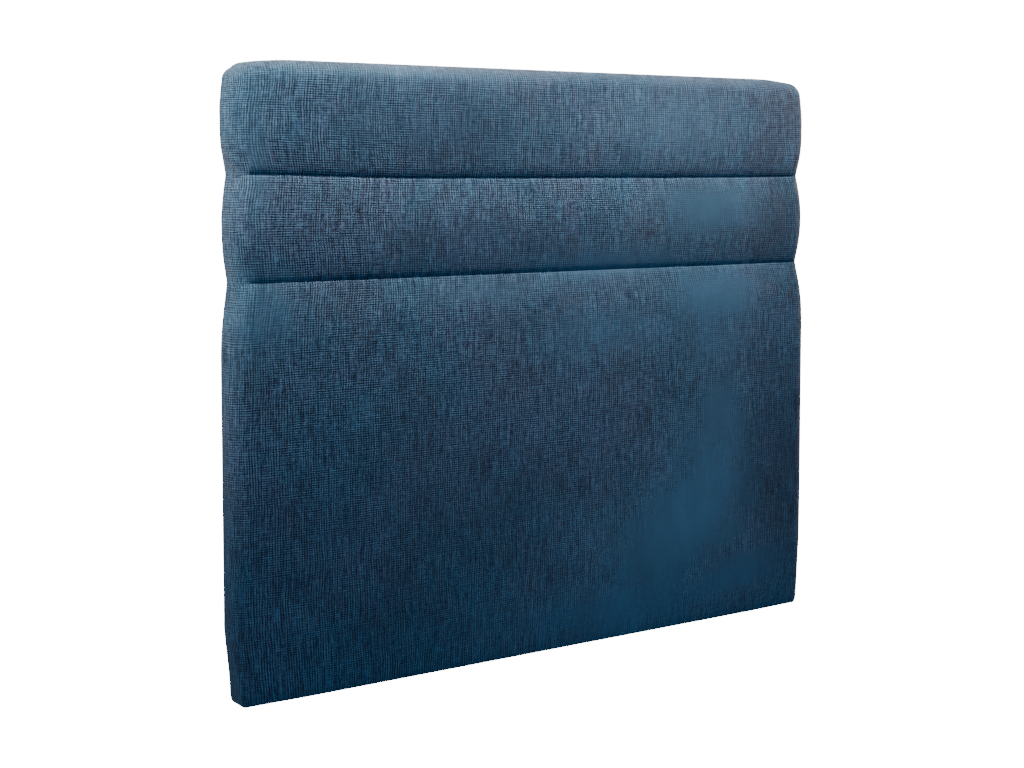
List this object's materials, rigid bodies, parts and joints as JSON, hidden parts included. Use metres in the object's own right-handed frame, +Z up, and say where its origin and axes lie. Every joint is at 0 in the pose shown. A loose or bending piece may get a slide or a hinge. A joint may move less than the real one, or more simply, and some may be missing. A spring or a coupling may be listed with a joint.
{
  "type": "upholstered headboard",
  "caption": "Upholstered bed headboard: a timber frame and hardboard face with foam padding under a chenille cover, divided by sewn seams, with keyhole hangers on its back.",
  "frame": {"origin": "middle of the bottom edge, half way between the wall side and the front crown", "axes": "+X along the width, to the right of a person facing the front; -Y out of the padded front, +Y towards the wall; +Z up"},
  "size_m": [1.44, 0.08, 1.2],
  "materials": {
    "pine": "planed pine, unfinished",
    "plywood": "sawn plywood",
    "hardboard": "smooth brown hardboard",
    "screw_steel": "yellow zinc-plated steel",
    "zinc_steel": "bright zinc-plated steel",
    "staple_steel": "galvanised wire",
    "foam": "open-cell polyurethane foam, matt",
    "wadding": "white polyester wadding",
    "cover_fabric": "blue chenille velvet with a slubbed weave and a soft nap",
    "tape": "woven cotton tape",
    "dust_cloth": "black non-woven polypropylene cloth",
    "felt": "grey pressed felt"
  },
  "bodies": {
    "root": {"frame_stile_left": "pine", "frame_stile_right": "pine", "frame_rail_top": "pine", "frame_rail_bottom": "pine", "frame_rail_upper_seam": "pine", "frame_rail_lower_seam": "pine", "frame_rail_low": "pine", "centre_post_top": "pine", "centre_post_second": "pine", "centre_post_middle": "pine", "centre_post_low": "pine", "corner_block_top_left": "plywood", "corner_block_top_right": "plywood", "corner_block_bottom_left": "plywood", "corner_block_bottom_right": "plywood", "frame_screws": "screw_steel", "face_board": "hardboard", "face_board_staples": "staple_steel", "foam_top": "foam", "foam_second": "foam", "foam_main": "foam", "foam_edge_left": "foam", "foam_edge_right": "foam", "foam_edge_top": "foam", "wadding_top": "wadding", "wadding_second": "wadding", "wadding_main": "wadding", "cover_top": "cover_fabric", "cover_second": "cover_fabric", "cover_main": "cover_fabric", "pull_strip_upper": "tape", "pull_strip_lower": "tape", "pull_strip_staples": "staple_steel", "cover_staples": "staple_steel", "dust_cover": "dust_cloth", "dust_cover_staples": "staple_steel", "hanger_plate_left": "zinc_steel", "hanger_plate_right": "zinc_steel", "hanger_screws": "zinc_steel", "bolt_inserts": "zinc_steel", "wall_bumper_top_left": "felt", "wall_bumper_top_right": "felt", "wall_bumper_bottom_left": "felt", "wall_bumper_bottom_right": "felt"}
  },
  "joints": []
}
